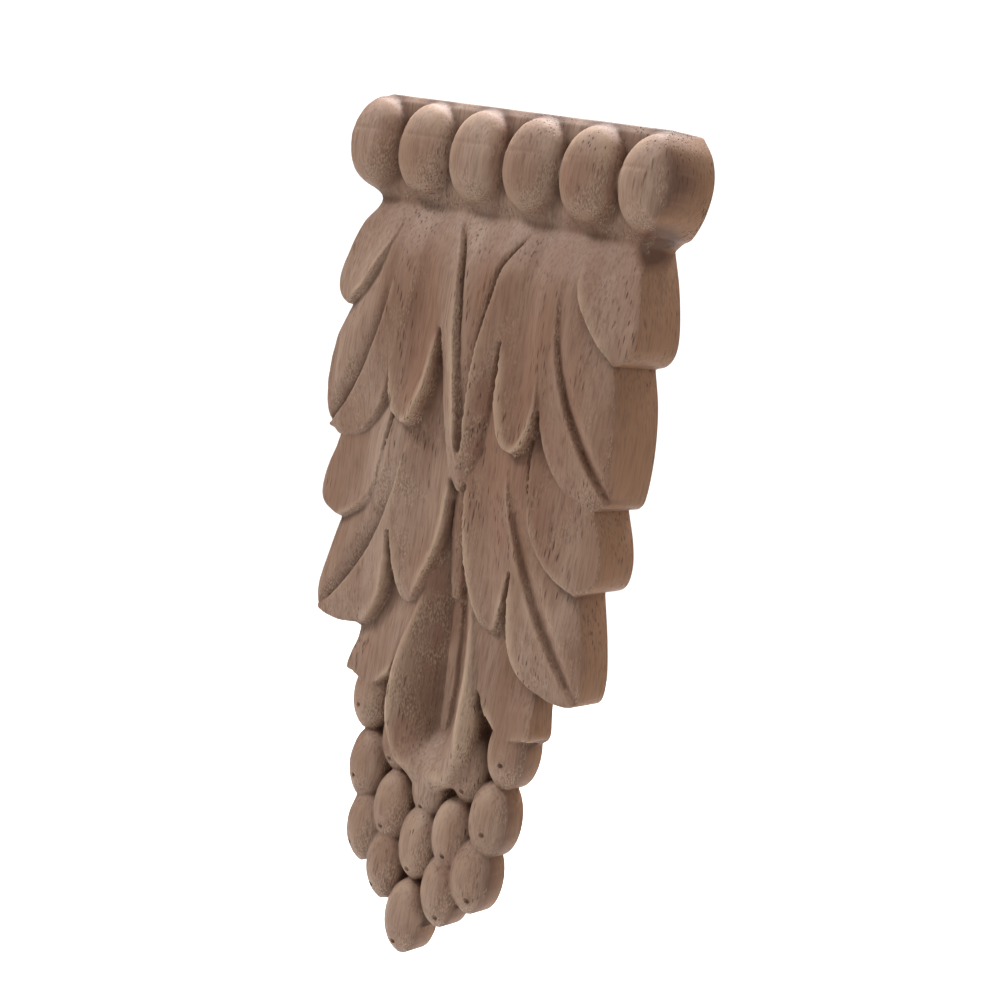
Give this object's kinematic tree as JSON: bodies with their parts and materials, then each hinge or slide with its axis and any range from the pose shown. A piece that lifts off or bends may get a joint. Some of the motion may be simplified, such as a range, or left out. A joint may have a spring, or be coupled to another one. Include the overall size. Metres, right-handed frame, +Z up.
{
  "type": "carved wooden onlay",
  "caption": "Tall carved wooden onlay: an egg rail over a layered acanthus drop ending in a bunch of grapes, with a flat back to glue or pin on.",
  "frame": {"origin": "middle of the flat back, at half the height, on the plane that lies against what the onlay is fixed to", "axes": "+Z up along the drop to the rail, +Y out of the flat back, so that the carved face looks to -Y, and X across"},
  "size_m": [0.0902, 0.0187, 0.1968],
  "materials": {
    "rubberwood": "bare and unsanded from the cutter, with open pores and raised fibres"
  },
  "bodies": {
    "root": {"carved_onlay": "rubberwood"}
  },
  "joints": []
}
